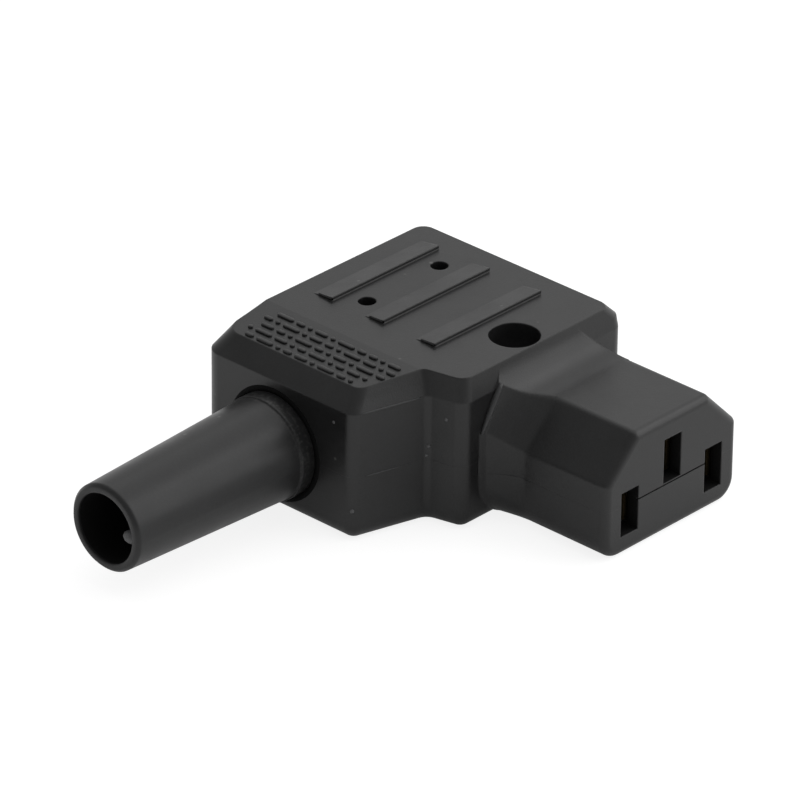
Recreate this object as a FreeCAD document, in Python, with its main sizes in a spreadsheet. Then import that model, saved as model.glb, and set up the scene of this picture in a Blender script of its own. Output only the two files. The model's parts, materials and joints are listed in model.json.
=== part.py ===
import FreeCAD, Part
import math
import os
import re

import Sketcher
from FreeCAD import Vector

# Rewireable right-angled connector with three female contacts, two moulded half shells and a bend sleeve.
# Frame, in millimetres: X = 0 is the outlet's face and +X the way the pins leave it, -Y is the way
# the cable leaves, +Z is up, and Z = 0 is the height of the line and neutral contacts.

SIZES = {
    # outlet: three slots in a nose with two chamfered corners
    "contact_spacing": 14.0,      # line to neutral, centre to centre
    "earth_rise": 4.0,            # earth contact above the other two
    "slot_width": 2.87,
    "slot_height": 5.55,
    "outlet_width": 22.1,
    "outlet_top": 9.5,
    "outlet_chamfer": 5.0,
    "outlet_edge": 0.9,           # rounding of the chamfers' long edges
    "outlet_corner": 2.6,         # radius of the two lower corners
    "outlet_lip": 1.0,            # rounding of the front edges
    "front_wall": 1.5,            # material in front of the contact chambers
    "outlet_parting": 1.1,        # height of the joint between the shells on the outlet
    "root_cove": 4.5,             # hollow where the outlet's top runs up into the body
    "root_side": 2.15,            # how far the outlet's root widens on its near side
    "root_rise": 1.7,             # and how far the chamfer's lower end rises there
    "root_lean": 7.05,            # and how far the chamfer, drawn on to the roof's height, moves out
    "root_length": 3.8,
    "strip_length": 0.35,         # steep strip between the root and the wall
    "strip_width": 0.9,
    "seam_gap": 0.2,              # open joint between the slots
    "seam_depth": 0.3,
    # body outline at the height of the joint
    "base_drop": 5.17,            # slot centres to the resting face
    "body_top": 13.6,
    "body_parting": 2.9,          # height of the joint between the shells on the body
    "outlet_wall": 16.2,          # outlet face to the body wall behind it
    "far_wall": 9.9,
    "cable_wall": 26.9,
    "rib_edge": 16.5,
    "step_reach": 20.7,           # hollow corner where the side begins to taper
    "step_edge": 17.6,
    "taper_reach": 23.4,          # corner beside the cable's wall
    "body_corner": 1.5,
    "back_corner": 2.3,
    "rib_corner": 1.6,
    "step_corner": 0.9,
    "base_rounding": 1.7,
    # bevelled band round the roof and the sloped field beside the sleeve
    "band_height": 2.75,
    "side_bevel": 0.7,
    "rib_bevel": 0.6,
    "taper_bevel": 1.2,
    "cable_bevel": 2.6,
    "far_bevel": 1.5,
    "back_pull": 1.05,            # how far the back corner of the sloped field is pulled in
    "field_start": 17.45,
    "field_angle": 4.0,
    # shells inside
    "shell_wall": 1.9,
    "roof_wall": 2.6,
    "fit_gap": 0.05,              # clearance of pegs, screws and springs
    # grip pads and peg holes on the roof
    "pad_reach": 40.15,           # first pad's upright side
    "pad_pitch": 7.85,
    "pad_width": 2.8,
    "pad_near": 12.6,
    "pad_length": 17.7,
    "pad_height": 0.45,
    "peg_reach": 37.3,
    "peg_near": 9.85,
    "peg_far": 2.1,
    "peg_radius": 1.0,
    "post_half": 2.0,
    "post_top": 8.0,
    "peg_depth": 2.0,             # peg's tip below the roof
    # housing screw in its well
    "well_setback": 3.75,         # well's centre behind the body wall
    "well_side": 4.3,
    "well_radius": 2.95,
    "well_depth": 5.8,
    "well_floor": 1.2,
    "well_boss": 4.1,
    "screw_boss": 3.1,
    "screw_radius": 1.45,
    "screw_length": 10.9,
    "screw_head": 2.75,
    "head_height": 2.0,
    "driver_slot": 0.7,
    "driver_depth": 0.9,
    # contacts
    "sheet": 0.6,
    "contact_height": 4.8,
    "contact_half": 1.65,
    "contact_mouth": 2.1,         # leaf tips behind the outlet's face
    "contact_pinch": 5.0,
    "contact_back": 15.5,
    "pinch_half": 0.9,
    "mouth_half": 1.3,
    "chamber_half": 1.97,
    "chamber_room": 0.6,          # free height over a contact
    "spring_sheet": 0.3,
    "spring_length": 3.0,
    "spring_start": 5.3,
    # terminals
    "terminal_sheet": 1.0,
    "terminal_length": 6.0,
    "terminal_width": 5.2,
    "terminal_head": 2.2,
    "terminal_head_height": 1.6,
    "terminal_screw": 1.2,
    "terminal_screw_length": 2.7,
    "plate_sheet": 0.8,
    "plate_half": 2.4,
    "line_terminal": 25.2,        # near edge of each terminal behind the outlet's face
    "neutral_terminal": 20.6,
    "earth_terminal": 27.4,
    "support_half": 2.2,
    "relief_half": 1.6,
    "relief_depth": 1.3,
    # bend sleeve
    "sleeve_reach": 35.3,
    "sleeve_to_back": 11.1,       # sleeve's axis to the back wall
    "sleeve_end": 53.5,
    "sleeve_tip_radius": 5.2,
    "sleeve_root_radius": 6.15,
    "sleeve_collar": 6.3,
    "collar_length": 2.0,
    "sleeve_bore": 4.2,
    "flange_radius": 7.0,
    "flange_sheet": 1.5,
    "sleeve_gap": 0.25,
    "sleeve_rim": 0.35,
    # cord clamp
    "clamp_side": 20.5,
    "clamp_half_pitch": 5.7,
    "clamp_post": 1.6,
    "clamp_post_top": 4.6,
    "clamp_sheet": 1.8,
    "clamp_width": 4.6,
    "clamp_end": 1.9,
    "clamp_rib": 1.4,
    "clamp_rib_half": 3.4,
    "clamp_screw": 1.0,
    "clamp_head": 1.85,
    "clamp_head_height": 1.4,
    "clamp_screw_length": 5.0,
}

doc = FreeCAD.newDocument("angled_connector")
sheet = doc.addObject("Spreadsheet::Sheet", "sizes")
for row, (name, size) in enumerate(SIZES.items(), start=1):
    sheet.set(f"A{row}", "'" + name)
    sheet.set(f"B{row}", str(size))
    sheet.setAlias(f"B{row}", name)
doc.recompute()


BACK = "(sleeve_reach + sleeve_to_back)"
WELL = "(outlet_wall + well_setback)"
BAND = "(body_top - band_height)"


def bound(text):
    """An expression in which every plain name is a cell of the sheet."""
    return re.sub(r"\b[a-z][a-z_]+\b(?!\()", r"sizes.\g<0>", text)


def number(text):
    """The value of such an expression."""
    result = sheet.evalExpression(bound(text))
    return float(getattr(result, "Value", result))


def new_body(label, across="0", along="0", up="0"):
    """An empty body, placed by three expressions."""
    body = doc.addObject("PartDesign::Body", label)
    body.Label = label
    for axis, text in zip("xyz", (across, along, up)):
        body.setExpression(f"Placement.Base.{axis}", bound(text))
    return body


def new_sketch(body, name, plane, level, centre):
    """A sketch on one of the body's origin planes, lifted and shifted by expressions."""
    sketch = body.newObject("Sketcher::SketchObject", name)
    support = next(f for f in body.Origin.OriginFeatures if f.Role == plane)
    sketch.AttachmentSupport = (support, [""])
    sketch.MapMode = "FlatFace"
    for axis, text in zip("xyz", (centre[0], centre[1], level)):
        sketch.setExpression(f"AttachmentOffset.Base.{axis}", bound(text))
    return sketch


def pin_point(sketch, item, end, across, up):
    """Fixes one point of a sketch from its origin by two expressions."""
    for kind, text in (("DistanceX", across), ("DistanceY", up)):
        index = sketch.addConstraint(Sketcher.Constraint(kind, -1, 1, item, end, number(text)))
        sketch.setExpression(f"Constraints[{index}]", bound(text))


def outline(body, name, plane, corners, level="0", centre=("0", "0")):
    """A closed outline; each corner is (across, up) or (across, up, radius), anticlockwise."""
    sketch = new_sketch(body, name, plane, level, centre)
    points = [Vector(number(corner[0]), number(corner[1]), 0) for corner in corners]
    count = len(corners)
    arcs, starts, ends = {}, list(points), list(points)
    for i, corner in enumerate(corners):
        if len(corner) < 3:
            continue
        before = (points[i - 1] - points[i]).normalize()
        after = (points[(i + 1) % count] - points[i]).normalize()
        half = before.getAngle(after) / 2
        radius = number(corner[2])
        starts[i] = points[i] + after * (radius / math.tan(half))
        ends[i] = points[i] + before * (radius / math.tan(half))
        middle = points[i] + (before + after).normalize() * (radius / math.sin(half))
        turns_left = before.cross(after).z < 0
        first, last = (ends[i], starts[i]) if turns_left else (starts[i], ends[i])
        angles = [math.atan2(p.y - middle.y, p.x - middle.x) for p in (first, last)]
        arcs[i] = (Part.ArcOfCircle(Part.Circle(middle, Vector(0, 0, 1), radius), *angles), turns_left)
    for i in range(count):
        sketch.addGeometry(Part.LineSegment(starts[i], ends[(i + 1) % count]), False)
    for i, corner in enumerate(corners):
        if i not in arcs:
            sketch.addConstraint(Sketcher.Constraint("Coincident", (i - 1) % count, 2, i, 1))
            pin_point(sketch, i, 1, corner[0], corner[1])
            continue
        arc, turns_left = arcs[i]
        tip = sketch.addGeometry(Part.Point(points[i]), True)
        pin_point(sketch, tip, 1, corner[0], corner[1])
        item = sketch.addGeometry(arc, False)
        into, out = (1, 2) if turns_left else (2, 1)
        sketch.addConstraint(Sketcher.Constraint("Tangent", (i - 1) % count, 2, item, into))
        sketch.addConstraint(Sketcher.Constraint("Tangent", i, 1, item, out))
        sketch.addConstraint(Sketcher.Constraint("PointOnObject", tip, 1, (i - 1) % count))
        sketch.addConstraint(Sketcher.Constraint("PointOnObject", tip, 1, i))
        index = sketch.addConstraint(Sketcher.Constraint("Radius", item, number(corner[2])))
        sketch.setExpression(f"Constraints[{index}]", bound(corner[2]))
    return sketch


def ring(body, name, plane, radius, level="0", centre=("0", "0")):
    """A circle round the sketch's own origin, which the centre shifts."""
    sketch = new_sketch(body, name, plane, level, centre)
    sketch.addGeometry(Part.Circle(Vector(0, 0, 0), Vector(0, 0, 1), number(radius)), False)
    sketch.addConstraint(Sketcher.Constraint("Coincident", 0, 3, -1, 1))
    index = sketch.addConstraint(Sketcher.Constraint("Radius", 0, number(radius)))
    sketch.setExpression(f"Constraints[{index}]", bound(radius))
    return sketch


def rectangle(low_across, high_across, low_up, high_up, *radius):
    """The four corners of an outline, anticlockwise."""
    return [(low_across, low_up, *radius), (high_across, low_up, *radius),
            (high_across, high_up, *radius), (low_across, high_up, *radius)]


def square(body, name, half, level="0", centre=("0", "0")):
    """A horizontal square about its centre."""
    return outline(body, name, "XY_Plane", rectangle(f"-{half}", half, f"-{half}", half), level, centre)


def extrude(body, kind, name, sketch, length, backwards=False):
    """A pad or a pocket; backwards turns its direction round."""
    feature = body.newObject(f"PartDesign::{kind}", name)
    feature.Profile = sketch
    feature.Reversed = backwards
    feature.setExpression("Length", bound(length))
    sketch.Visibility = False
    return feature


def pad_up(body, name, sketch, length):
    return extrude(body, "Pad", name, sketch, length)


def pocket_up(body, name, sketch, length):
    return extrude(body, "Pocket", name, sketch, length, backwards=True)


def pocket_down(body, name, sketch, length):
    return extrude(body, "Pocket", name, sketch, length)


def spin(body, kind, name, sketch):
    """A full turn of a sketch about its own upright axis."""
    feature = body.newObject(f"PartDesign::{kind}", name)
    feature.Profile = sketch
    feature.ReferenceAxis = (sketch, ["V_Axis"])
    feature.Angle = 360
    return feature


def near(value, text, slack=0.01):
    return abs(value - number(text)) < slack


def edges_where(feature, test):
    """Names of the feature's edges whose two ends and middle all pass a test."""
    names = []
    for index, edge in enumerate(feature.Shape.Edges, start=1):
        middle = edge.valueAt((edge.FirstParameter + edge.LastParameter) / 2)
        ends = [vertex.Point for vertex in edge.Vertexes]
        if len(ends) == 2 and all(test(point) for point in ends + [middle]):
            names.append(f"Edge{index}")
    return names


def round_edges(body, name, radius, test, keep=None):
    """A fillet on the edges of the body's last feature that pass the test, apart from those kept sharp."""
    doc.recompute()
    base = body.Tip
    kept = edges_where(base, keep) if keep else []
    feature = body.newObject("PartDesign::Fillet", name)
    feature.Base = (base, [edge for edge in edges_where(base, test) if edge not in kept])
    feature.setExpression("Radius", bound(radius))
    return feature


def wall_section(body, name, level, rise="0", far="0", pull="0"):
    """The body's outline at one height; rise is the share of the bevels that is reached there."""
    corners = [
        (f"-{BACK} + {rise} * side_bevel + {pull}", f"-cable_wall + {rise} * cable_bevel", "back_corner"),
        (f"-taper_reach - {rise} * taper_bevel", f"-cable_wall + {rise} * cable_bevel", "body_corner"),
        (f"-step_reach - {rise} * taper_bevel", f"-step_edge + {rise} * rib_bevel", "step_corner"),
        (f"-outlet_wall - {rise} * side_bevel", f"-rib_edge + {rise} * rib_bevel", "rib_corner"),
        (f"-outlet_wall - {rise} * side_bevel", f"far_wall - {far}", "body_corner"),
        (f"-{BACK} + {rise} * side_bevel", f"far_wall - {far}", "body_corner"),
        (f"-{BACK} + {rise} * side_bevel", "-field_start"),
    ]
    return outline(body, name, "XY_Plane", corners, level)


def wall_loft(body, name, sections):
    """The block between horizontal sections, with straight walls from one to the next."""
    feature = body.newObject("PartDesign::AdditiveLoft", name)
    feature.Profile = sections[0]
    feature.Sections = sections[1:]
    feature.Ruled = True
    return feature


def cavity_outline(body, name, level):
    """The hollow that both shells share."""
    corners = [
        (f"-{BACK} + shell_wall", "-cable_wall + shell_wall", "body_corner"),
        ("-taper_reach - shell_wall", "-cable_wall + shell_wall", "body_corner"),
        ("-step_reach - shell_wall", "-step_edge + shell_wall", "step_corner"),
        ("-outlet_wall - shell_wall", "-step_edge + shell_wall", "step_corner"),
        ("-outlet_wall - shell_wall", "far_wall - shell_wall", "body_corner"),
        (f"-{BACK} + shell_wall", "far_wall - shell_wall", "body_corner"),
    ]
    return outline(body, name, "XY_Plane", corners, level)


CONTACTS = {
    "line": ("-contact_spacing / 2", "0"),
    "neutral": ("contact_spacing / 2", "0"),
    "earth": ("0", "earth_rise"),
}


def cut_slots(body):
    """The three slots through the wall in front of the contacts."""
    for key, (side, rise) in CONTACTS.items():
        corners = rectangle(f"{side} - slot_width / 2", f"{side} + slot_width / 2",
                            f"{rise} - slot_height / 2", f"{rise} + slot_height / 2")
        sketch = outline(body, f"{key}_slot", "YZ_Plane", corners)
        pocket_down(body, f"{key}_slot_cut", sketch, "front_wall + contact_mouth")


def chamber_corners(side):
    return rectangle("-outlet_wall - shell_wall - sheet", "-front_wall",
                     f"{side} - chamber_half", f"{side} + chamber_half")


def cut_sleeve_seat(body):
    """Half of the round seat that holds the sleeve's neck and flange."""
    corners = [
        ("0", "-cable_wall - sheet"),
        ("sleeve_collar + sleeve_gap", "-cable_wall - sheet"),
        ("sleeve_collar + sleeve_gap", "-cable_wall + shell_wall"),
        ("flange_radius + fit_gap", "-cable_wall + shell_wall"),
        ("flange_radius + fit_gap", "-cable_wall + shell_wall + flange_sheet + fit_gap"),
        ("0", "-cable_wall + shell_wall + flange_sheet + fit_gap"),
    ]
    sketch = outline(body, "sleeve_seat", "XY_Plane", corners, "body_parting", ("-sleeve_reach", "0"))
    spin(body, "Groove", "sleeve_seat_cut", sketch)


def root_lofts(body, section):
    """The widened root of the outlet: a straight run through the wall, a steep strip and a hollow flare."""
    wall, strip = "-outlet_wall", "(-outlet_wall + strip_length)"
    runs = [section("root_behind", f"{wall} - shell_wall", "1", "strip_width"),
            section("root_wall", wall, "1", "strip_width")]
    wall_loft(body, "root_run", runs)
    strips = [section("root_strip_start", wall, "1", "strip_width"), section("root_strip_end", strip, "1", "0")]
    wall_loft(body, "root_strip", strips)
    flare = []
    for i, way in enumerate(("0", "0.25", "0.5", "0.75", "1")):
        flare.append(section(f"root_flare_{i}", f"{strip} + {way} * root_length", f"(1 - {way})^1.5", "0"))
    wall_loft(body, "root_flare", flare).Ruled = False


def clear_far_side(body, level, length, cut):
    """Takes the outlet's stub off the far wall, which is narrower than the outlet."""
    stub = rectangle("-outlet_wall - shell_wall", "-outlet_wall", "far_wall", "outlet_width / 2 + shell_wall")
    cut(body, "far_cut", outline(body, "far_cut_section", "XY_Plane", stub, level), length)


def outlet_root():
    """The upper half of the outlet's root, which also runs up into the body's wall and bevel."""
    body = new_body("outlet_root")
    near, far = "-outlet_width / 2", "outlet_width / 2"
    rise = "(body_top - outlet_top + outlet_chamfer)"

    def section(name, place, share, shift):
        corners = [
            (f"{near} - {share} * root_side - {shift}", "outlet_parting"),
            (far, "outlet_parting"),
            (far, "outlet_top - outlet_chamfer"),
            (f"{far} - {rise}", "body_top"),
            (f"{near} + {rise} - {share} * root_lean - {shift}", "body_top"),
            (f"{near} - {share} * root_side - {shift}", f"outlet_top - outlet_chamfer + {share} * root_rise"),
        ]
        return outline(body, name, "YZ_Plane", corners, place)

    root_lofts(body, section)
    lean = "(side_bevel / band_height)"
    beyond = "outlet_width"
    above = [
        (f"-outlet_wall + ({BAND} - outlet_top) * {lean}", "outlet_top", "root_cove"),
        ("0", "outlet_top"),
        ("0", beyond),
        (f"-outlet_wall - ({beyond} - {BAND}) * {lean}", beyond),
    ]
    sketch = outline(body, "above_section", "XZ_Plane", above, "-outlet_width")
    extrude(body, "Pocket", "cut_above", sketch, "2 * outlet_width", backwards=True)
    return body


def upper_shell():
    body = new_body("upper_shell")
    turn = "(1 - far_bevel / band_height)"
    sections = [
        wall_section(body, "joint_section", "body_parting"),
        wall_section(body, "band_section", BAND),
        wall_section(body, "far_band_section", "body_top - far_bevel", turn, "0", f"{turn} * back_pull"),
        wall_section(body, "roof_section", "body_top", "1", "far_bevel", "back_pull"),
    ]
    wall_loft(body, "walls", sections)
    root = body.newObject("PartDesign::Boolean", "root_join")
    root.setObjects([outlet_root()])
    root.Type = "Fuse"
    nose = [
        ("-outlet_width / 2", "outlet_parting"),
        ("outlet_width / 2", "outlet_parting"),
        ("outlet_width / 2", "outlet_top - outlet_chamfer", "outlet_edge"),
        ("outlet_width / 2 - outlet_chamfer", "outlet_top", "outlet_edge"),
        ("-outlet_width / 2 + outlet_chamfer", "outlet_top", "outlet_edge"),
        ("-outlet_width / 2", "outlet_top - outlet_chamfer", "outlet_edge"),
    ]
    sketch = outline(body, "nose_section", "YZ_Plane", nose)
    extrude(body, "Pad", "nose", sketch, "outlet_wall + shell_wall", backwards=True)
    clear_far_side(body, "outlet_parting", "body_top", pocket_up)
    run = "(cable_wall - field_start + 1)"
    field = [
        ("-field_start", "body_top"),
        ("-field_start", "body_top + 1"),
        (f"-field_start - {run}", "body_top + 1"),
        (f"-field_start - {run}", f"body_top - {run} * tan(field_angle * 1deg)"),
    ]
    sketch = outline(body, "field_section", "YZ_Plane", field)
    pocket_down(body, "field_cut", sketch, f"{BACK} + 1")
    round_edges(body, "front_rounding", "outlet_lip", lambda p: near(p.x, "0"),
                lambda p: near(p.z, "outlet_parting"))
    # inside
    roof = "body_top - roof_wall"
    pocket_up(body, "cavity", cavity_outline(body, "cavity_section", "body_parting"),
              f"{roof} - body_parting")
    for key, (side, rise) in CONTACTS.items():
        sketch = outline(body, f"{key}_chamber", "XY_Plane", chamber_corners(side), "outlet_parting")
        pocket_up(body, f"{key}_chamber_cut", sketch,
                  f"{rise} + contact_height / 2 + chamber_room - outlet_parting")
    cut_slots(body)
    # screw well with its boss, and the boss's narrower foot
    seat = "(body_top - well_depth)"
    boss = rectangle(f"-{WELL} - well_boss", "-outlet_wall - shell_wall + fit_gap",
                     "-well_side - well_boss", "-well_side + well_boss")
    pad_up(body, "well_boss_pad", outline(body, "well_boss_section", "XY_Plane", boss, f"{seat} - well_floor"),
           f"{roof} - {seat} + well_floor")
    foot = rectangle(f"-{WELL} - screw_boss", "-outlet_wall - shell_wall + fit_gap",
                     "-well_side - screw_boss", "-well_side + screw_boss")
    pad_up(body, "well_foot_pad", outline(body, "well_foot_section", "XY_Plane", foot, "body_parting"),
           f"{seat} - body_parting")
    well_centre = (f"-{WELL}", "-well_side")
    pocket_down(body, "well", ring(body, "well_ring", "XY_Plane", "well_radius", "body_top", well_centre),
                "well_depth")
    pocket_up(body, "screw_hole", ring(body, "screw_hole_ring", "XY_Plane", "screw_radius + 4 * fit_gap",
                                       "body_parting", well_centre), f"{seat} - body_parting + 1")
    # sockets for the two pegs
    for key, side in (("near", "-peg_near"), ("far", "peg_far")):
        centre = ("-peg_reach", side)
        pad_up(body, f"{key}_socket", square(body, f"{key}_socket_section", "post_half", "post_top", centre),
               f"{roof} - post_top")
        pocket_down(body, f"{key}_peg_hole", ring(body, f"{key}_peg_ring", "XY_Plane",
                                                  "peg_radius + fit_gap", "body_top", centre),
                    "body_top - post_top")
    # grip pads, each a wedge that rises towards the outlet
    for i in range(3):
        reach = f"(pad_reach - {i} * pad_pitch)"
        wedge = [(f"-{reach} - pad_width", "body_top"), (f"-{reach}", "body_top"),
                 (f"-{reach}", "body_top + pad_height")]
        sketch = outline(body, f"grip_{i}_section", "XZ_Plane", wedge, "pad_near")
        extrude(body, "Pad", f"grip_{i}", sketch, "pad_length", backwards=True)
    cut_sleeve_seat(body)
    return body


def lower_shell():
    body = new_body("lower_shell")
    pad_up(body, "walls", wall_section(body, "base_section", "-base_drop"), "base_drop + body_parting")
    round_edges(body, "base_edge", "base_rounding", lambda p: near(p.z, "-base_drop"))
    lip = rectangle("-outlet_wall - shell_wall", "0", "-outlet_width / 2 - root_side - strip_width",
                    "outlet_width / 2")
    pocket_down(body, "lip_cut", outline(body, "lip_section", "XY_Plane", lip, "body_parting"),
                "body_parting - outlet_parting")
    nose = [
        ("-outlet_width / 2", "outlet_parting"),
        ("-outlet_width / 2", "-base_drop", "outlet_corner"),
        ("outlet_width / 2", "-base_drop", "outlet_corner"),
        ("outlet_width / 2", "outlet_parting"),
    ]
    sketch = outline(body, "nose_section", "YZ_Plane", nose)
    extrude(body, "Pad", "nose", sketch, "outlet_wall + shell_wall", backwards=True)

    def section(name, place, share, shift):
        side = f"-outlet_width / 2 - {share} * root_side - {shift}"
        corners = [
            (side, "-base_drop", f"outlet_corner + {share} * root_side + {shift}"),
            ("0", "-base_drop"),
            ("0", "outlet_parting"),
            (side, "outlet_parting"),
        ]
        return outline(body, name, "YZ_Plane", corners, place)

    root_lofts(body, section)
    clear_far_side(body, "outlet_parting", "outlet_parting + base_drop", pocket_down)
    round_edges(body, "front_rounding", "outlet_lip", lambda p: near(p.x, "0"),
                lambda p: near(p.z, "outlet_parting"))
    floor = "(shell_wall - base_drop)"
    pocket_down(body, "cavity", cavity_outline(body, "cavity_section", "body_parting"),
                f"body_parting - {floor}")
    for key in ("line", "neutral"):
        side, rise = CONTACTS[key]
        sketch = outline(body, f"{key}_chamber", "XY_Plane", chamber_corners(side), "outlet_parting")
        pocket_down(body, f"{key}_chamber_cut", sketch, f"outlet_parting - {rise} + contact_height / 2")
    cut_slots(body)
    open_joint = rectangle("-seam_depth", "0", "-contact_spacing / 2", "contact_spacing / 2")
    pocket_down(body, "seam", outline(body, "seam_section", "XY_Plane", open_joint, "outlet_parting"),
                "seam_gap")
    # boss for the housing screw
    foot = rectangle(f"-{WELL} - screw_boss", "-outlet_wall - shell_wall",
                     "-well_side - screw_boss", "-well_side + screw_boss")
    pad_up(body, "screw_boss_pad", outline(body, "screw_boss_section", "XY_Plane", foot, floor),
           f"body_parting - {floor}")
    pocket_down(body, "screw_hole", ring(body, "screw_hole_ring", "XY_Plane", "screw_radius + fit_gap",
                                         "body_parting", (f"-{WELL}", "-well_side")),
                f"body_parting - {floor}")
    # posts with their pegs
    for key, side in (("near", "-peg_near"), ("far", "peg_far")):
        centre = ("-peg_reach", side)
        pad_up(body, f"{key}_post", square(body, f"{key}_post_section", "post_half", floor, centre),
               f"post_top - {floor}")
        peg = ring(body, f"{key}_peg_ring", "XY_Plane", "peg_radius", "post_top", centre)
        pad_up(body, f"{key}_peg", peg, "body_top - peg_depth - post_top")
    # posts for the cord clamp
    for key, sign in (("back", "-"), ("front", "+")):
        centre = (f"-sleeve_reach {sign} clamp_half_pitch", "-clamp_side")
        pad_up(body, f"clamp_{key}_post", square(body, f"clamp_{key}_section", "clamp_post", floor, centre),
               f"clamp_post_top - {floor}")
        pocket_down(body, f"clamp_{key}_hole", ring(body, f"clamp_{key}_hole_ring", "XY_Plane",
                                                    "clamp_screw + fit_gap", "clamp_post_top", centre),
                    "clamp_screw_length - clamp_sheet + fit_gap")
    # supports under the terminals, hollow under the screws
    for key in CONTACTS:
        across, along, bottom = terminal_place(key)
        centre = (across, along)
        pad_up(body, f"{key}_support", square(body, f"{key}_support_section", "support_half", floor, centre),
               f"{bottom} - {floor}")
        relief = square(body, f"{key}_relief_section", "relief_half", bottom, centre)
        pocket_down(body, f"{key}_relief", relief, "relief_depth")
    cut_sleeve_seat(body)
    return body


def contact_bottom(key):
    """Height at which a contact stands on the lower shell."""
    return "outlet_parting" if key == "earth" else "(-contact_height / 2)"


def tail_side(key):
    """Which leaf of the contact runs on to the terminal, as the tail's offset from the contact's axis."""
    return {"line": "(-contact_half + sheet / 2)", "neutral": "(-contact_half + sheet / 2)", "earth": "0"}[key]


def terminal_place(key):
    """Centre of a terminal's screw, and the height of its sheet's underside."""
    side = CONTACTS[key][0]
    shift = {"line": "-terminal_width / 2 + sheet / 2", "neutral": "-sheet", "earth": "0"}[key]
    return (f"-{key}_terminal - terminal_length / 2", f"{side} + {tail_side(key)} + {shift}",
            contact_bottom(key))


def contact(key):
    """A strip folded into two spring leaves, with a tail and a flat terminal behind it."""
    side, rise = CONTACTS[key]
    bottom = contact_bottom(key)
    body = new_body(f"{key}_contact", "0", side, bottom)
    height = f"{rise} + contact_height / 2 - {bottom}"
    leaf = [("-contact_mouth", "mouth_half"), ("-contact_mouth", "mouth_half + sheet"),
            ("-contact_pinch", "pinch_half + sheet"), ("-contact_back", "contact_half"),
            ("-contact_back", "-contact_half"), ("-contact_pinch", "-pinch_half - sheet"),
            ("-contact_mouth", "-mouth_half - sheet"), ("-contact_mouth", "-mouth_half"),
            ("-contact_pinch", "-pinch_half"), ("-contact_back + sheet", "-contact_half + sheet"),
            ("-contact_back + sheet", "contact_half - sheet"), ("-contact_pinch", "pinch_half")]
    pad_up(body, "leaves", outline(body, "leaf_section", "XY_Plane", leaf), height)
    tail = tail_side(key)
    corners = rectangle(f"-{key}_terminal - sheet", "-contact_back", f"{tail} - sheet / 2", f"{tail} + sheet / 2")
    pad_up(body, "tail", outline(body, "tail_section", "XY_Plane", corners), height)
    across, along, level = terminal_place(key)
    centre = (across, f"{along} - ({side})")
    corners = rectangle("-terminal_length / 2", "terminal_length / 2",
                        "-terminal_width / 2", "terminal_width / 2")
    pad_up(body, "terminal", outline(body, "terminal_section", "XY_Plane", corners, "0", centre),
           "terminal_sheet")
    pocket_up(body, "tapped_hole", ring(body, "tapped_ring", "XY_Plane", "terminal_screw + fit_gap", "0",
                                        centre), "terminal_sheet")
    return body


def contact_spring(key):
    """A steel clip that straddles the leaves and presses them together."""
    side, rise = CONTACTS[key]
    body = new_body(f"{key}_spring", "-spring_start", side, f"{rise} + contact_height / 2")
    inner = "(pinch_half + sheet + 2 * fit_gap)"
    corners = [(f"-{inner}", "0"), (f"-{inner}", "-contact_height * 0.7"),
               (f"-{inner} - spring_sheet", "-contact_height * 0.7"), (f"-{inner} - spring_sheet", "spring_sheet"),
               (f"{inner} + spring_sheet", "spring_sheet"), (f"{inner} + spring_sheet", "-contact_height * 0.7"),
               (inner, "-contact_height * 0.7"), (inner, "0")]
    corners.reverse()
    sketch = outline(body, "clip_section", "YZ_Plane", corners)
    extrude(body, "Pad", "clip", sketch, "spring_length", backwards=True)
    return body


def screw(label, place, radius, length, head, head_height):
    """A cheese-head screw with a driver slot; the underside of its head is at the body's origin."""
    body = new_body(label, *place)
    corners = [("0", f"-({length})"), (radius, f"-({length})"), (radius, "0"),
               (head, "0"), (head, head_height), ("0", head_height)]
    spin(body, "Revolution", "turned", outline(body, "turned_section", "XZ_Plane", corners))
    slot = rectangle(f"-({head}) - 1", f"{head} + 1", "-driver_slot / 2", "driver_slot / 2")
    pocket_down(body, "driver", outline(body, "driver_section", "XY_Plane", slot, head_height), "driver_depth")
    return body


def clamp_plate(key):
    """The square washer that presses a wire onto the terminal."""
    across, along, bottom = terminal_place(key)
    body = new_body(f"{key}_clamp_plate", across, along, f"{bottom} + terminal_sheet")
    pad_up(body, "plate", square(body, "plate_section", "plate_half"), "plate_sheet")
    pocket_up(body, "plate_hole", ring(body, "plate_ring", "XY_Plane", "terminal_screw + 2 * fit_gap"),
              "plate_sheet")
    return body


def terminal_screw(key):
    across, along, bottom = terminal_place(key)
    place = (across, along, f"{bottom} + terminal_sheet + plate_sheet")
    return screw(f"{key}_terminal_screw", place, "terminal_screw", "terminal_screw_length",
                 "terminal_head", "terminal_head_height")


def cord_clamp():
    """The bridge across the cable, with a rib that bites into the sheath."""
    body = new_body("cord_clamp", "-sleeve_reach", "-clamp_side", "clamp_post_top")
    half = "(clamp_half_pitch + clamp_end)"
    corners = rectangle(f"-{half}", half, "-clamp_width / 2", "clamp_width / 2")
    pad_up(body, "bridge", outline(body, "bridge_section", "XY_Plane", corners), "clamp_sheet")
    rib = rectangle("-clamp_rib_half", "clamp_rib_half", "-clamp_rib / 2", "clamp_rib / 2")
    sketch = outline(body, "rib_section", "XY_Plane", rib)
    extrude(body, "Pad", "rib", sketch, "clamp_rib", backwards=True)
    for key, sign in (("back", "-"), ("front", "")):
        sketch = ring(body, f"{key}_ring", "XY_Plane", "clamp_screw + 2 * fit_gap", "0",
                      (f"{sign}clamp_half_pitch", "0"))
        pocket_up(body, f"{key}_hole", sketch, "clamp_sheet")
    return body


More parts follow.
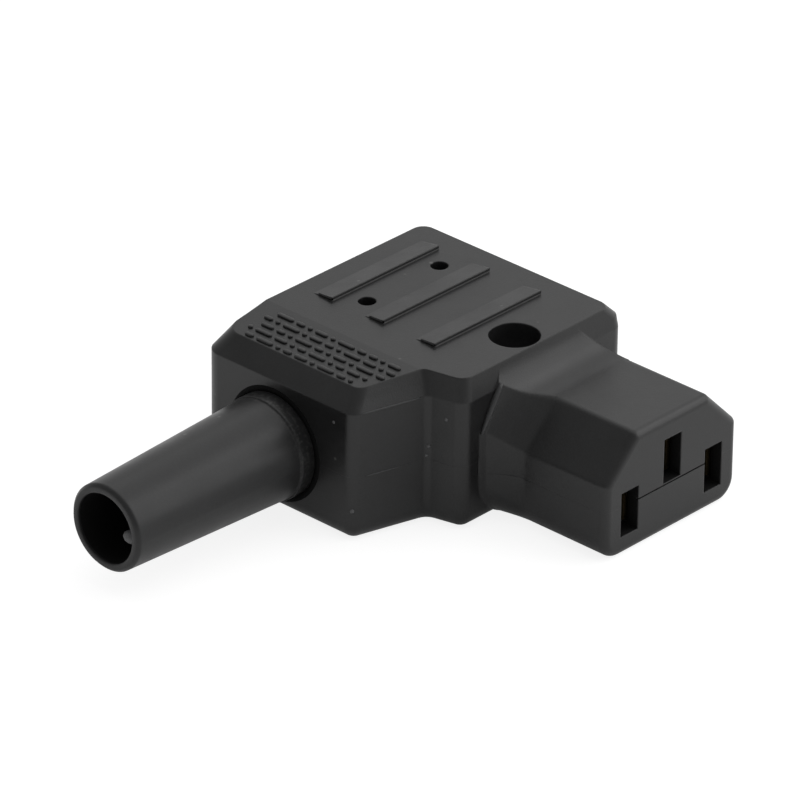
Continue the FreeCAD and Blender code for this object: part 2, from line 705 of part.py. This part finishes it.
def clamp_screw(key, sign):
    place = (f"-sleeve_reach {sign} clamp_half_pitch", "-clamp_side", "clamp_post_top + clamp_sheet")
    return screw(f"clamp_screw_{key}", place, "clamp_screw", "clamp_screw_length",
                 "clamp_head", "clamp_head_height")


def bend_sleeve():
    """The tapered sleeve, held by a flange behind the wall."""
    body = new_body("bend_sleeve", "-sleeve_reach", "0", "body_parting")
    corners = [
        ("sleeve_bore", "-sleeve_end"),
        ("sleeve_tip_radius - sleeve_rim", "-sleeve_end"),
        ("sleeve_tip_radius", "-sleeve_end + sleeve_rim"),
        ("sleeve_root_radius", "-cable_wall - collar_length"),
        ("sleeve_collar", "-cable_wall - collar_length"),
        ("sleeve_collar", "-cable_wall + shell_wall"),
        ("flange_radius", "-cable_wall + shell_wall"),
        ("flange_radius", "-cable_wall + shell_wall + flange_sheet"),
        ("sleeve_bore", "-cable_wall + shell_wall + flange_sheet"),
    ]
    spin(body, "Revolution", "turned", outline(body, "turned_section", "XY_Plane", corners))
    return body


def housing_screw():
    place = (f"-{WELL}", "-well_side", "body_top - well_depth")
    return screw("housing_screw", place, "screw_radius", "screw_length", "screw_head", "head_height")


parts = [upper_shell(), lower_shell(), bend_sleeve(), cord_clamp(), housing_screw()]
parts += [clamp_screw("back", "-"), clamp_screw("front", "+")]
for contact_name in CONTACTS:
    parts += [contact(contact_name), contact_spring(contact_name), clamp_plate(contact_name),
              terminal_screw(contact_name)]
doc.recompute()

for item in doc.Objects:
    if "Invalid" in item.State or "Error" in item.State:
        raise RuntimeError(f"{item.Label} did not compute: {item.State}")
os.makedirs("parts", exist_ok=True)
for part in parts:
    shape = part.Shape
    if shape.isNull() or not shape.isValid() or len(shape.Solids) != 1:
        raise RuntimeError(f"{part.Label} is not one valid solid")
    shape.exportStep(f"parts/{part.Label}.step")
    print(f"{part.Label}: {shape.Volume:.1f} cubic mm")
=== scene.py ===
import json
import math

import bmesh
import bpy
from mathutils import Matrix, Vector
from mathutils.bvhtree import BVHTree


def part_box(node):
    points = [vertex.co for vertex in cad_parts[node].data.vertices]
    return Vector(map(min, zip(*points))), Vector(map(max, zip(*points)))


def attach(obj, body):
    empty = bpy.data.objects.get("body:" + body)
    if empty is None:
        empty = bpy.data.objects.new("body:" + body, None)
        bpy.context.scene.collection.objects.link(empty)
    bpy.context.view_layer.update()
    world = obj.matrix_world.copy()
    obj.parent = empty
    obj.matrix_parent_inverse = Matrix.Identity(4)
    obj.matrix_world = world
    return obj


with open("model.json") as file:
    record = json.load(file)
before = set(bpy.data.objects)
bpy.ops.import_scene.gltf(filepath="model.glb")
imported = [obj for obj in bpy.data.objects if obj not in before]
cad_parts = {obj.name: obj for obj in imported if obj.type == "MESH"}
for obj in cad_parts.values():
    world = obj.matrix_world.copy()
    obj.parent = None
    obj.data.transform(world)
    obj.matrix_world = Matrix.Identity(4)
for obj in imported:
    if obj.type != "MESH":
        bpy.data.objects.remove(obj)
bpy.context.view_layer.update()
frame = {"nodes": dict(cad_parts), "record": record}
MM = 0.001
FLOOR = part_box("lower_shell")[0][2]

# Places on the solids that the materials use, in metres.
BODY_SEAM, OUTLET_SEAM = 0.0029, 0.0011
ROOT_FOLD, FOLD_REACH = -0.01205, 0.0045
SHOULDER, SHOULDER_REACH = -0.0282, 0.0016
SLEEVE_X, SLEEVE_Z = -0.0353, 0.0029
BORE_RADIUS, BORE_FRONT, BORE_BACK = 0.0045, -0.0531, -0.02
# The contact chambers and the sleeve's bore, which the materials paint black as painted shade.
CONTACT_CHAMBERS = (
    ((-0.0155, -0.0093, -0.0036), (-0.0002, 0.0093, 0.0040)),
    ((-0.0155, -0.0022, 0.0), (-0.0002, 0.0022, 0.0078)),
)

# Surface values that the materials share.
CLOUD_SCALE, DUST_SCALE, SCUFF_SCALE = 260.0, 190.0, 2600.0
CLOUD_RELIEF = 0.00003
ROOT_SOFTER, SEAM_CRISPER = 4.5, 0.2
PATCH_SCALE, STREAK_RELIEF = 300.0, 0.00001
DUST_COLOUR = (0.085, 0.085, 0.083, 1)
# Near-black, dull colour painted in the chambers and the bore as painted shade.
PAINTED_SHADE_COLOUR, PAINTED_SHADE_ROUGHNESS = (0.002, 0.002, 0.002, 1), 0.6

# The bars and dots of the sloped field, the grip pads' ends and the dark ring of painted shade round the
# sleeve, in millimetres.
BAR_WIDTH, BAR_HEIGHT, BAR_SUNK, BAR_GAP = 0.6, 0.22, 0.08, 0.55
BAR_SIDES = 16
PAD_WIDTH, PAD_ROUNDING = 2.1, 0.06
SHADE_RING_Y, SHADE_RING_RADIUS, SHADE_RING_WIDE, SHADE_RING_DEEP = -26.88, 6.62, 0.36, 0.16

# Light of the room and of the floor, where 1 is white, and the painted shadow that darkens the floor's
# reflections near the corner beside the outlet, in metres.
ROOM_DARK, ROOM_BRIGHT = 0.34, 0.76
FLOOR_SHOWN, FLOOR_MIRRORED, FLOOR_PAINTED_SHADOW = 0.84, 0.24, 0.09
CORNER, CORNER_INNER, CORNER_OUTER = (-0.008, -0.018, FLOOR), 0.006, 0.020


def node(tree, kind, inputs=None, **settings):
    """Adds a shader node, sets its properties, and sets or links its inputs."""
    made = tree.nodes.new(kind)
    for name, value in settings.items():
        setattr(made, name, value)
    for name, value in (inputs or {}).items():
        if isinstance(value, bpy.types.NodeSocket):
            tree.links.new(value, made.inputs[name])
        else:
            made.inputs[name].default_value = value
    return made


def maths(tree, operation, *values):
    """The result of a Math node."""
    return node(tree, "ShaderNodeMath", dict(enumerate(values)), operation=operation).outputs[0]


def spread(tree, value, low, high, to_low=0.0, to_high=1.0):
    """A value taken from one range to another, and held at its ends."""
    limits = {"Value": value, "From Min": low, "From Max": high, "To Min": to_low, "To Max": to_high}
    return node(tree, "ShaderNodeMapRange", limits).outputs["Result"]


def noise(tree, place, scale, detail, roughness=0.5):
    """A noise texture's value."""
    values = {"Vector": place, "Scale": scale, "Detail": detail, "Roughness": roughness}
    return node(tree, "ShaderNodeTexNoise", values).outputs["Fac"]


def coordinate(tree, place, axis):
    """One coordinate of a place, named by its axis."""
    return node(tree, "ShaderNodeSeparateXYZ", {"Vector": place}).outputs[axis]


def distance(tree, place, centre):
    """How far a place is from a centre."""
    return node(tree, "ShaderNodeVectorMath", {0: place, 1: centre}, operation="DISTANCE").outputs["Value"]


def blend(tree, factor, first, second):
    """A mix of two colours."""
    colours = {"Factor": factor, "A": first, "B": second}
    return node(tree, "ShaderNodeMix", colours, data_type="RGBA").outputs["Result"]


def ramp(tree, value, stops):
    """A colour ramp between greys or colours, given as (place, colour)."""
    made = node(tree, "ShaderNodeValToRGB", {"Fac": value})
    steps = made.color_ramp.elements
    for step, (place, colour) in zip(steps, stops):
        step.position = place
        step.color = (*colour, 1) if isinstance(colour, tuple) else (colour, colour, colour, 1)
    return made.outputs["Color"]


def fade(tree, value, middle, reach):
    """Rises from 0 at the middle to 1 at the reach on either side of it."""
    away = maths(tree, "ABSOLUTE", maths(tree, "SUBTRACT", value, middle))
    return spread(tree, away, 0.0, reach)


def within(tree, place, low, high):
    """1 inside a box and 0 outside it."""
    painted_shade = 1.0
    for axis, least, most in zip("XYZ", low, high):
        gap = maths(tree, "SUBTRACT", coordinate(tree, place, axis), (least + most) / 2)
        kept = maths(tree, "LESS_THAN", maths(tree, "ABSOLUTE", gap), (most - least) / 2)
        painted_shade = maths(tree, "MULTIPLY", kept, painted_shade)
    return painted_shade


def bored(tree, place, across, up, radius, low, high):
    """1 near an axis along Y, between two places on it, and 0 elsewhere."""
    flat = {axis: coordinate(tree, place, axis) for axis in "XZ"}
    away = distance(tree, node(tree, "ShaderNodeCombineXYZ", flat).outputs[0], (across, 0, up))
    near = maths(tree, "LESS_THAN", away, radius)
    behind = maths(tree, "GREATER_THAN", coordinate(tree, place, "Y"), low)
    before = maths(tree, "LESS_THAN", coordinate(tree, place, "Y"), high)
    return maths(tree, "MULTIPLY", near, maths(tree, "MULTIPLY", behind, before))


def material(name, colour, roughness, metallic=0.0, specular=0.5):
    """A material with its shader's plain numbers set on the sockets."""
    made = bpy.data.materials.new(name)
    made.use_nodes = True
    shader = made.node_tree.nodes["Principled BSDF"]
    shader.inputs["Base Color"].default_value = (*colour, 1)
    shader.inputs["Roughness"].default_value = roughness
    shader.inputs["Metallic"].default_value = metallic
    shader.inputs["Specular IOR Level"].default_value = specular
    return made, made.node_tree, shader


def scuffs(tree, place):
    """Fine pale rubbing on the sleeve's shoulder."""
    clean = fade(tree, coordinate(tree, place, "Y"), SHOULDER, SHOULDER_REACH)
    marks = ramp(tree, noise(tree, place, SCUFF_SCALE, 1.0), [(0.5, 0.0), (0.75, 0.6)])
    return maths(tree, "MULTIPLY", maths(tree, "SUBTRACT", 1.0, clean), marks)


def joint_edges(tree, place, soft_edge):
    """The edges' radius on the shells: crisp beside their joint, wide at the outlet's root."""
    level = coordinate(tree, place, "Z")
    beside = [fade(tree, level, seam, 2 * soft_edge) for seam in (BODY_SEAM, OUTLET_SEAM)]
    fold = fade(tree, coordinate(tree, place, "X"), ROOT_FOLD, FOLD_REACH)
    wide = spread(tree, fold, 0.0, 1.0, ROOT_SOFTER * soft_edge, soft_edge)
    return spread(tree, maths(tree, "MULTIPLY", *beside), 0.0, 1.0, SEAM_CRISPER * soft_edge, wide)


def plastic(name, tones, roughness, specular, grain, relief, soft_edge, jointed=False, scuffed=False,
            inside=()):
    """Moulded plastic: fine spark-eroded grain, faint flow clouds and a few light dust specks.

    The tones and the roughness are pairs, low and high. Where a mask of inside is 1, it is painted black and
    dull as painted shade in the recesses.
    """
    low, high = tones
    made, tree, shader = material(name, (low, low, low), roughness[0], specular=specular)
    place = node(tree, "ShaderNodeTexCoord").outputs["Object"]
    clouds = noise(tree, place, CLOUD_SCALE, 4.0, 0.6)
    fine = noise(tree, place, grain, 3.0, 0.65)
    mixed = maths(tree, "MULTIPLY", maths(tree, "ADD", clouds, fine), 0.5)
    tint = ramp(tree, mixed, [(0.36, (low, low, low * 1.02)), (0.64, (high * 0.99, high, high * 1.02))])
    specks = node(tree, "ShaderNodeTexVoronoi", {"Vector": place, "Scale": DUST_SCALE}, feature="F1")
    dust = ramp(tree, specks.outputs["Distance"], [(0.03, 1.0), (0.055, 0.0)])
    if scuffed:
        dust = maths(tree, "MAXIMUM", dust, scuffs(tree, place))
    tint = blend(tree, dust, tint, DUST_COLOUR)
    rough = spread(tree, clouds, 0.3, 0.7, *roughness)
    # Painted shade: black, dull colour inside the contact chambers and the sleeve's bore.
    if inside:
        painted_shade = 0.0
        for shape, *limits in inside:
            painted_shade = maths(tree, "MAXIMUM", shape(tree, place, *limits), painted_shade)
        tint = blend(tree, painted_shade, tint, PAINTED_SHADE_COLOUR)
        rough = maths(tree, "MAXIMUM", rough, maths(tree, "MULTIPLY", painted_shade, PAINTED_SHADE_ROUGHNESS))
    tree.links.new(tint, shader.inputs["Base Color"])
    tree.links.new(rough, shader.inputs["Roughness"])
    radius = joint_edges(tree, place, soft_edge) if jointed else soft_edge
    softened = node(tree, "ShaderNodeBevel", {"Radius": radius}, samples=6)
    sunk = node(tree, "ShaderNodeBump", {"Height": clouds, "Normal": softened.outputs["Normal"],
                                         "Distance": CLOUD_RELIEF, "Strength": 0.5})
    bump = node(tree, "ShaderNodeBump", {"Height": fine, "Normal": sunk.outputs["Normal"],
                                         "Distance": relief, "Strength": 0.6})
    tree.links.new(bump.outputs["Normal"], shader.inputs["Normal"])
    return made


def metal(name, colour, roughness, scratch):
    """Rolled or turned metal with faint streaks and a dull patchy film."""
    made, tree, shader = material(name, colour, roughness, metallic=1.0)
    place = node(tree, "ShaderNodeTexCoord").outputs["Object"]
    drawn = node(tree, "ShaderNodeMapping", {"Vector": place, "Scale": (0.12, 1.0, 1.0)}).outputs["Vector"]
    streaks = noise(tree, drawn, scratch, 3.0)
    patches = noise(tree, place, PATCH_SCALE, 3.0)
    dark = tuple(channel * 0.72 for channel in colour)
    tree.links.new(ramp(tree, patches, [(0.35, dark), (0.65, colour)]), shader.inputs["Base Color"])
    rough = spread(tree, streaks, 0.3, 0.7, roughness, roughness + 0.2)
    tree.links.new(rough, shader.inputs["Roughness"])
    bump = node(tree, "ShaderNodeBump", {"Height": streaks, "Distance": STREAK_RELIEF, "Strength": 0.5})
    tree.links.new(bump.outputs["Normal"], shader.inputs["Normal"])
    return made


SHELL = plastic("moulded_shell", (0.010, 0.016), (0.28, 0.38), specular=0.5, grain=5200.0,
                relief=0.000025, soft_edge=0.00025, jointed=True,
                inside=[(within, *chamber) for chamber in CONTACT_CHAMBERS])
SLEEVE = plastic("soft_sleeve", (0.014, 0.020), (0.30, 0.40), specular=0.40, grain=3000.0,
                 relief=0.000012, soft_edge=0.0005, scuffed=True,
                 inside=[(bored, SLEEVE_X, SLEEVE_Z, BORE_RADIUS, BORE_FRONT, BORE_BACK)])
CLAMP = plastic("clamp_moulding", (0.02, 0.03), (0.5, 0.6), specular=0.35, grain=4000.0,
                relief=0.00002, soft_edge=0.0002)
# Paler than the shell: the beads are raised ridges that catch light, and their paler colour adds a painted
# highlight.
FLASH_AND_HIGHLIGHT = plastic("flash_and_painted_highlight", (0.04, 0.055), (0.42, 0.52), specular=0.45, grain=5200.0,
                relief=0.00001, soft_edge=0.0001)
# Pale specks of dust, and the pale colour of the nub in the sleeve's mouth, which is a painted glint.
FLECK_AND_GLINT = plastic("pale_fleck_and_glint", (0.09, 0.14), (0.5, 0.6), specular=0.4, grain=5200.0,
                relief=0.00001, soft_edge=0.0001)
# A near-black, dull finish for the ring of painted shade round the sleeve.
SHADE_RING_FINISH = plastic("painted_shade_ring_finish", (0.002, 0.004), (0.7, 0.8), specular=0.1, grain=3000.0,
              relief=0.00001, soft_edge=0.0001)
BRASS = metal("contact_brass", (0.17, 0.13, 0.07), 0.45, 5000.0)
SPRING = metal("spring_strip", (0.32, 0.32, 0.33), 0.3, 5000.0)
ZINC = metal("zinc_plate", (0.42, 0.42, 0.43), 0.34, 4000.0)
FINISH = {"shell": SHELL, "sleeve": SLEEVE, "contact": BRASS, "spring": SPRING, "screw": ZINC, "clamp": CLAMP}

for entry in frame["record"]["subparts"]:
    solid = frame["nodes"][entry["node"]]
    solid.data.materials.clear()
    solid.data.materials.append(FINISH[entry["material_slot"]])


def piece(name, shape, finish):
    """A new piece on the body, with its finish."""
    mesh = bpy.data.meshes.new(name)
    shape.to_mesh(mesh)
    shape.free()
    made = bpy.data.objects.new(name, mesh)
    bpy.context.scene.collection.objects.link(made)
    made.data.materials.append(finish)
    for face in made.data.polygons:
        face.use_smooth = True
    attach(made, "root")


def surface(name):
    """A search tree over a CAD node's faces."""
    return BVHTree.FromObject(frame["nodes"][name], bpy.context.evaluated_depsgraph_get())


def turns(count, start=0.0):
    """Angles evenly round a circle, from a start given in steps."""
    return [2 * math.pi * (step + start) / count for step in range(count)]


def skin(shape, rings, closed=False):
    """Faces from ring to ring. A closed row joins its ends, and an open row gets two end faces."""
    following = rings[1:] + rings[:1] if closed else rings[1:]
    for near, far in zip(rings, following):
        for step in range(len(near)):
            after = (step + 1) % len(near)
            shape.faces.new((near[step], near[after], far[after], far[step]))
    if not closed:
        shape.faces.new(tuple(reversed(rings[0])))
        shape.faces.new(rings[-1])


def bar(shape, centre, lengthwise, up, length):
    """A raised bar with round ends and a bevelled top; as long as it is wide, it is a round dot."""
    across = up.cross(lengthwise)
    width, height, sunk = BAR_WIDTH * MM, BAR_HEIGHT * MM, BAR_SUNK * MM
    half = (length - width) / 2
    rings = []
    for level, inset in ((-sunk, 0.0), (height * 0.55, 0.0), (height * 0.9, 0.1), (height, 0.3)):
        radius = width / 2 * (1 - inset)
        ring = []
        for turn in turns(BAR_SIDES, 0.5):
            end = half if math.cos(turn) > 0 else -half
            ring.append(shape.verts.new(centre + up * level + lengthwise * (end + radius * math.cos(turn))
                                        + across * radius * math.sin(turn)))
        rings.append(ring)
    skin(shape, rings)


def field_relief():
    """Plain raised bars and dots on the sloped field beside the sleeve."""
    shape = bmesh.new()
    roof = surface("upper_shell")
    rows = [  # Y and first X in millimetres, and the bars' lengths, where 0 is a dot
        (-18.95, -42.4, (2.4, 1.2, 0, 1.8, 0, 2.4, 1.2, 1.2, 0, 1.8)),
        (-20.25, -43.2, (1.2, 0, 2.4, 0, 1.8, 1.2, 0, 2.4, 1.8, 0, 1.2)),
        (-21.55, -42.4, (1.8, 1.2, 0, 2.4, 1.2, 0, 1.8, 0, 2.4, 1.2)),
        (-22.85, -43.2, (0, 2.4, 1.8, 0, 1.2, 2.4, 0, 1.2, 1.8, 0)),
        (-24.15, -42.4, (1.2, 2.4, 0, 1.2, 1.8, 0, 2.4, 1.2, 0)),
    ]
    above = 30.0
    for side, across, marks in rows:
        for length in marks:
            size = length or BAR_WIDTH
            spot = Vector((across + size / 2, side, above)) * MM
            hit, up, _, _ = roof.ray_cast(spot, Vector((0, 0, -1)))
            right = Vector((1, 0, 0))
            bar(shape, hit, (right - up * right.dot(up)).normalized(), up, size * MM)
            across += size + BAR_GAP
    piece("field_relief", shape, SHELL)


def ridge(name, start, end, wide, thin):
    """A half-sunk bead along a crease, wide at its start and thin at its end, in millimetres; its paler
    finish adds a painted highlight.
    """
    start, end = Vector(start) * MM, Vector(end) * MM
    side = (end - start).normalized().cross(Vector((1, 0, 0))).normalized()
    other = (end - start).normalized().cross(side)
    shape = bmesh.new()
    rings = []
    sections = 12
    for step in range(sections + 1):
        way = step / sections
        taper = math.sin(math.pi * min(max(way, 0.02), 0.98)) ** 0.35  # blunt ends, never a point
        radius = (wide + (thin - wide) * way) * taper * MM
        centre = start.lerp(end, way)
        rings.append([shape.verts.new(centre + (side * math.cos(turn) + other * math.sin(turn)) * radius)
                      for turn in turns(14)])
    skin(shape, rings)
    bmesh.ops.recalc_face_normals(shape, faces=shape.faces)
    piece(name, shape, FLASH_AND_HIGHLIGHT)


def lumps(name, carrier, spots, flat=0.6, lift=0.0):
    """Small pale lumps on a CAD node's surface, flattened, and raised by the lift, in millimetres."""
    shape = bmesh.new()
    carried = surface(carrier)
    for spot, radius in spots:
        place, up, _, _ = carried.find_nearest(Vector(spot) * MM)
        turn = up.to_track_quat("Z", "Y").to_matrix().to_4x4()
        size = Matrix.Diagonal((radius * MM, radius * MM, radius * flat * MM, 1))
        bmesh.ops.create_icosphere(shape, subdivisions=2, radius=1.0,
                                   matrix=Matrix.Translation(place + up * lift * MM) @ turn @ size)
    piece(name, shape, FLECK_AND_GLINT)


def pad_ends():
    """Upright ends of the three grip pads, towards the sleeve."""
    shape = bmesh.new()
    front, back, bottom, top, slant = -12.62, -12.3, 13.55, 14.0, 0.12
    for left in (-42.25, -34.4, -26.55):
        right = left + PAD_WIDTH
        outline = ((left, front), (right, front), (right, back), (left, back))
        heights = ((bottom,) * 4, (top - slant, top, top, top - slant))
        skin(shape, [[shape.verts.new(Vector((x, y, z)) * MM) for (x, y), z in zip(outline, level)]
                     for level in heights])
    bmesh.ops.bevel(shape, geom=shape.edges[:], offset=PAD_ROUNDING * MM, segments=2, affect="EDGES")
    piece("pad_ends", shape, SHELL)


def painted_shade_ring():
    """A dark ring of painted shade in the joint between the sleeve and the wall."""
    shape = bmesh.new()
    rings = []
    for turn in turns(64):
        out = Vector((math.cos(turn), 0, math.sin(turn)))
        centre = Vector((SLEEVE_X / MM, SHADE_RING_Y, SLEEVE_Z / MM)) + out * SHADE_RING_RADIUS
        rings.append([shape.verts.new((centre + out * math.cos(side) * SHADE_RING_WIDE
                                       + Vector((0, SHADE_RING_DEEP * math.sin(side), 0))) * MM)
                      for side in turns(12)])
    skin(shape, rings, closed=True)
    bmesh.ops.recalc_face_normals(shape, faces=shape.faces)
    piece("painted_shade_ring", shape, SHADE_RING_FINISH)


field_relief()
# A bead where a bright line runs: it catches light as a ridge and carries a painted highlight in its paler
# finish.
ridge("root_bead", (-16.0, -10.75, 11.5), (-16.0, -13.85, 6.25), 0.5, 0.3)
lumps("flecks", "upper_shell", [((-26.2, -26.9, 9.1), 0.2), ((-18.3, -17.6, 8.5), 0.22),
                                ((-20.6, -17.5, 4.6), 0.25), ((-20.9, -17.6, 3.4), 0.2)])
lumps("fleck_low", "lower_shell", [((-23.4, -26.9, -1.3), 0.25)])
# A raised nub in the sleeve's mouth whose pale colour is a painted glint.
lumps("sleeve_key_glint", "bend_sleeve", [((-31.1, -52.68, 2.9), 0.8)], flat=1.5, lift=0.8)
# These two beads also carry a painted highlight in their paler finish.
ridge("band_highlight_bead", (-23.08, -25.8, 10.85), (-20.87, -18.2, 10.85), 0.11, 0.09)
ridge("seam_flash_and_highlight", (-22.93, -25.3, 2.9), (-21.60, -20.7, 2.9), 0.10, 0.06)
pad_ends()
painted_shade_ring()


def ground():
    """The paper floor: plain white to the eye, with a painted shadow that darkens it in reflections near the
    outlet's corner.
    """
    size = 3.0
    mesh = bpy.data.meshes.new("floor")
    corners = [(-size, -size, FLOOR), (size, -size, FLOOR), (size, size, FLOOR), (-size, size, FLOOR)]
    mesh.from_pydata(corners, [], [(0, 1, 2, 3)])
    floor = bpy.data.objects.new("floor", mesh)
    bpy.context.scene.collection.objects.link(floor)
    made, tree, shader = material("floor_paper", (0.8, 0.8, 0.8), 0.9, specular=0.0)
    place = node(tree, "ShaderNodeTexCoord").outputs["Object"]
    pulp = ramp(tree, noise(tree, place, 30.0, 2.0), [(0.3, 0.76), (0.7, 0.80)])
    path = node(tree, "ShaderNodeLightPath").outputs
    seen = path["Is Camera Ray"]
    mirrored = maths(tree, "MAXIMUM", path["Is Glossy Ray"], path["Is Transmission Ray"])
    paper = blend(tree, seen, pulp, (0.36, 0.36, 0.36, 1))
    tree.links.new(paper, shader.inputs["Base Color"])
    # Painted shadow: the floor's glow in reflections drops near the corner beside the outlet.
    corner = distance(tree, place, CORNER)
    lit = spread(tree, corner, CORNER_INNER, CORNER_OUTER, FLOOR_PAINTED_SHADOW, FLOOR_MIRRORED)
    glow = maths(tree, "MULTIPLY", mirrored, lit)
    shader.inputs["Emission Color"].default_value = (1, 1, 1, 1)
    tree.links.new(maths(tree, "MULTIPLY_ADD", seen, FLOOR_SHOWN, glow), shader.inputs["Emission Strength"])
    floor.data.materials.append(made)


def lamps():
    """Two soft lights, in metres and watts."""
    target = Vector((-0.02, 0.0, 0.0))
    for name, origin, width, height, power in (("overhead", (-0.05, 0.35, 0.9), 1.3, 1.3, 2.4),
                                               ("key", (0.75, 0.85, 0.65), 1.4, 1.1, 5.0)):
        lamp = bpy.data.lights.new(name, "AREA")
        lamp.shape = "RECTANGLE"
        lamp.size, lamp.size_y, lamp.energy = width, height, power
        holder = bpy.data.objects.new(name, lamp)
        bpy.context.scene.collection.objects.link(holder)
        turn = (target - Vector(origin)).to_track_quat("-Z", "Y").to_matrix()
        holder.matrix_world = Matrix.Translation(origin) @ turn.to_4x4()


def room():
    """The even light of the room, brighter on the side of +Y."""
    world = bpy.data.worlds.new("room")
    world.use_nodes = True
    bpy.context.scene.world = world
    tree = world.node_tree
    way = node(tree, "ShaderNodeTexCoord").outputs["Generated"]
    level = spread(tree, coordinate(tree, way, "Y"), -0.4, 0.8, ROOM_DARK, ROOM_BRIGHT)
    background = tree.nodes["Background"]
    background.inputs["Color"].default_value = (1, 1, 1, 1)
    tree.links.new(level, background.inputs["Strength"])


def camera():
    """The photograph's camera, as fitted to the three slots and the edges' directions."""
    around, above, roll = math.radians(42.812), math.radians(28.734), math.radians(0.612)
    away, left, raised = 803.85, 30.131, 9.903
    back = Vector((math.sin(around) * math.cos(above), -math.cos(around) * math.cos(above), math.sin(above)))
    level = Vector((math.cos(around), math.sin(around), 0))
    upright = back.cross(level)
    right = level * math.cos(roll) + upright * math.sin(roll)
    top = upright * math.cos(roll) - level * math.sin(roll)
    data = bpy.data.cameras.new("camera")
    data.lens, data.sensor_width, data.sensor_fit = 325.85, 36.0, "HORIZONTAL"
    data.clip_start, data.clip_end = 0.05, 20.0
    holder = bpy.data.objects.new("camera", data)
    turn = Matrix((right, top, back)).transposed()
    place = (back * away - right * left + top * raised) * MM
    holder.matrix_world = Matrix.Translation(place) @ turn.to_4x4()
    bpy.context.scene.collection.objects.link(holder)
    bpy.context.scene.camera = holder


ground()
lamps()
room()
camera()
bpy.context.scene.view_settings.view_transform = "Standard"
